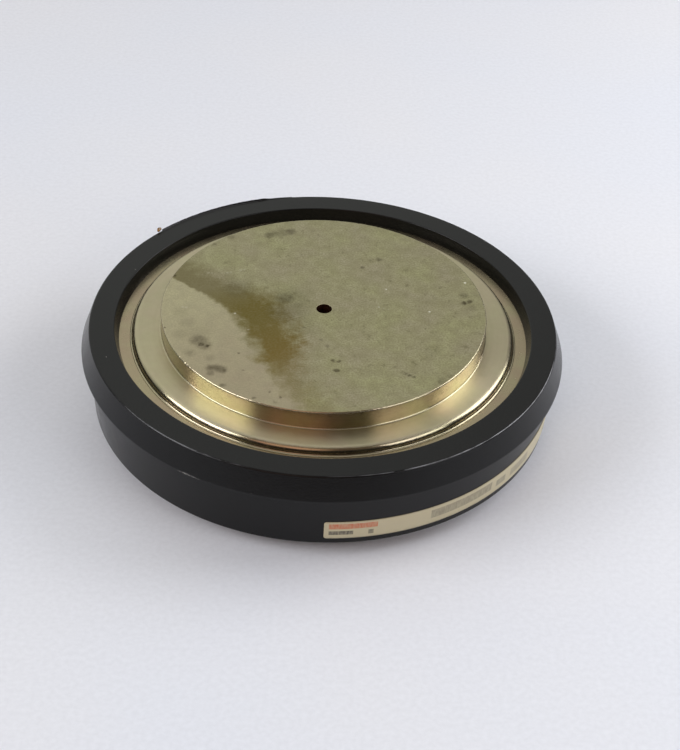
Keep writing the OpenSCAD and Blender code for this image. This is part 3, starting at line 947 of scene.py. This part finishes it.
def labelPaper():
    # Coated paper under a clear film: cream, faintly glossy, grimy along its edges
    material, tree, shader, place = newMaterial(
        "coatedLabelPaper", Roughness=0.42, IOR=1.5, Coat_Weight=0.25, Coat_Roughness=0.2)
    sheet = addNode(tree, "UVMap", uv_map="labelSheet")
    size = (label["length"], label["height"], 1)
    onLabel = addNode(tree, "VectorMath", {0: sheet, 1: size}, operation="MULTIPLY")
    fibre = unevenness(tree, onLabel, label["fibre"], 0.0, 1.0, 4.0)
    tint, cover = label["fibreTint"]
    colour = tinted(tree, label["paper"], tint, fibre, cover)
    upright = addNode(tree, "VectorMath", {0: onLabel, 1: (1, 0.25, 1)}, operation="MULTIPLY")
    worn = unevenness(tree, upright, label["worn"], 0.45)
    soft = label["inkEdge"]
    for left, bottom, right, top, ink, cover in label["print"]:
        middle = ((left + right) / 2, (bottom + top) / 2, 0)
        half = ((right - left) / 2, (top - bottom) / 2, 9)
        off = addNode(tree, "VectorMath", {0: onLabel, 1: middle}, operation="SUBTRACT")
        off = addNode(tree, "VectorMath", {0: off}, operation="ABSOLUTE")
        off = addNode(tree, "VectorMath", {0: off, 1: half}, operation="SUBTRACT")
        parts = addNode(tree, "SeparateXYZ", {0: off}, None)
        outside = addNode(tree, "Math", {0: parts.outputs[0], 1: parts.outputs[1]}, operation="MAXIMUM")
        inked = addNode(tree, "MapRange", {0: outside, 1: soft, 2: -soft, 4: cover})
        colour = tinted(tree, colour, ink, inked, worn)
    up = addNode(tree, "SeparateXYZ", {0: onLabel}, 1)
    down = addNode(tree, "Math", {0: label["height"], 1: up}, operation="SUBTRACT")
    toEdge = addNode(tree, "Math", {0: up, 1: down}, operation="MINIMUM")
    tint, cover = label["grimeTint"]
    grime = addNode(tree, "MapRange", {0: toEdge, 1: label["grimeReach"], 2: 0.0, 4: cover})
    colour = tinted(tree, colour, tint, grime, worn)
    finishWith(tree, shader, colour, None, fibre, label["fibreDepth"])
    return material


def wallRadius(height):
    # The wall leans out evenly from its foot to the collar's underside
    share = (height - ring["recess"]) / (ring["underside"] - ring["recess"])
    return ring["wallFoot"] + (ring["wallTop"] - ring["wallFoot"]) * share


def makeLabel(material):
    # The sheet's height at a place along it shrinks near each end by the corner's circle:
    # half height = full half - (corner - sqrt(corner^2 - (corner - distance to the end)^2))
    corner, length = label["corner"], label["length"]
    nearEnd = corner * (1 - np.cos(np.linspace(0, np.pi / 2, 10)))
    middle = np.linspace(corner, length - corner, label["steps"])[1:-1]
    along = np.concatenate([nearEnd, middle, length - nearEnd[::-1]])
    toEnd = np.clip(corner - np.minimum(along, length - along), 0, None)
    half = label["height"] / 2 - (corner - np.sqrt(corner ** 2 - toEnd ** 2))
    up = label["height"] / 2 + half[:, None] * np.linspace(-1, 1, label["rows"])[None, :]
    height = label["bottom"] + up
    radius = wallRadius(height) + label["thickness"]
    angle = math.radians(label["start"]) + along[:, None] / wallRadius(label["bottom"]) + 0 * up
    points = np.stack([radius * np.cos(angle), radius * np.sin(angle), height], -1)
    piece = surfaceObject("labelStrip", points, material, roundClosed=False)
    mesh = piece.data
    spots = np.empty(len(mesh.vertices) * 3)
    mesh.vertices.foreach_get("co", spots)
    spots = spots.reshape(-1, 3) / mm
    turn = (np.arctan2(spots[:, 1], spots[:, 0]) - math.radians(label["start"])) % (2 * np.pi)
    turn = np.where(turn > np.pi, 0, turn)  # the very first points may fall just short of the start
    arc = turn * wallRadius(label["bottom"])
    sheet = np.stack([arc / length, (spots[:, 2] - label["bottom"]) / label["height"]], 1)
    vertexOf = np.empty(len(mesh.loops), np.int32)
    mesh.loops.foreach_get("vertex_index", vertexOf)
    layer = mesh.uv_layers.new(name="labelSheet")
    layer.data.foreach_set("uv", sheet[vertexOf].ravel())
    if mesh.polygons[0].normal.dot(Vector(points[0, 0] * (1, 1, 0))) < 0:
        mesh.flip_normals()
    solid = piece.modifiers.new("paperThickness", "SOLIDIFY")
    solid.thickness = label["thickness"] * mm
    solid.offset = -1
    return finished(piece, "label_paper", "rim_label")


makeLabel(labelPaper())
print("label made")


silver = {
    "colours": ("#dadadb", "#ecebe8"),
    "rolled": 0.3,
    "depth": 0.002,
    "patch": 4.0,
    "roughness": (0.16, 0.26),
}
molybdenum = {
    "colours": ("#8d8f94", "#a2a4a8"),
    "swirl": 1.4,
    "depth": 0.002,
    "patch": 1.5,
    "roughness": (0.3, 0.42),
}
silicon = {
    "colours": ("#555a6a", "#666b7a"),
    "cloud": 3.0,
    "patch": 0.8,
    "roughness": (0.1, 0.2),
}


def silverFoil():
    # Rolled silver: bright, cool white, softly dented by the discs that press on it
    material, tree, shader, place = newMaterial("rolledSilver", Metallic=1.0)
    stretched = addNode(tree, "VectorMath", {0: place, 1: (0.08, 1, 1)}, operation="MULTIPLY")
    rolled = unevenness(tree, stretched, silver["rolled"])
    roughness = unevenness(tree, place, silver["patch"], *silver["roughness"])
    finishWith(tree, shader, tinted(tree, *silver["colours"], rolled), roughness, rolled, silver["depth"])
    return material


def groundMolybdenum():
    # Sintered molybdenum, ground flat: steel grey with fine curved grinding marks
    material, tree, shader, place = newMaterial("groundMolybdenum", Metallic=1.0)
    wave = {"Vector": place, "Scale": 1 / molybdenum["swirl"], "Distortion": 3.0, "Detail": 3.0}
    swirl = addNode(tree, "TexWave", wave, "Fac", wave_type="RINGS", rings_direction="Z")
    roughness = unevenness(tree, place, molybdenum["patch"], *molybdenum["roughness"])
    colour = tinted(tree, *molybdenum["colours"], swirl)
    finishWith(tree, shader, colour, roughness, swirl, molybdenum["depth"])
    return material


def etchedSilicon():
    # Silicon wafer, etched: slate grey with a mirror under it, a little blue
    material, tree, shader, place = newMaterial("etchedSilicon", Metallic=0.85)
    colour = tinted(tree, *silicon["colours"], unevenness(tree, place, silicon["cloud"]))
    finishWith(tree, shader, colour, unevenness(tree, place, silicon["patch"], *silicon["roughness"]))
    return material


def castRubber(name, colours, roughness, grain, depth, **sockets):
    # Cast or moulded rubber: even, soft sheen, with a faint skin; its patches are coarser than its skin
    material, tree, shader, place = newMaterial(name, **sockets)
    colour = tinted(tree, *colours, unevenness(tree, place, grain * 6))
    patches = unevenness(tree, place, grain * 3, roughness - 0.05, roughness + 0.05)
    finishWith(tree, shader, colour, patches, unevenness(tree, place, grain), depth)
    return material


def wear(material, *names):
    # Gives a CAD solid its material, in each of its slots
    for name in names:
        for slot in nodes[name].material_slots:
            slot.material = material


wear(silverFoil(), "upper_silver_foil", "lower_silver_foil")
wear(groundMolybdenum(), "upper_molybdenum_disc", "lower_molybdenum_disc")
wear(etchedSilicon(), "silicon_wafer")
# Silicone rubber cast over the wafer's edge: milky and clear, with a wet look
wear(castRubber("castSiliconeRubber", ("#e4dfd0", "#f0ece0"), 0.2, 1.2, 0.01,
                IOR=1.41, Subsurface_Weight=0.3, Subsurface_Scale=0.8 * mm), "wafer_edge_coat")
# Pressed fluoropolymer: waxy white, with a dull slip
wear(castRubber("pressedFluoropolymer", ("#eceae4", "#f6f5f0"), 0.5, 0.6, 0.006, IOR=1.36), "centring_ring")
# Moulded silicone cord: brick red, matt and rubbery
wear(castRubber("mouldedSealRubber", ("#7c3022", "#93402f"), 0.55, 0.4, 0.008, IOR=1.43),
     "upper_seal_ring", "lower_seal_ring")
print("inner parts finished")

scene.view_settings.view_transform = "Standard"
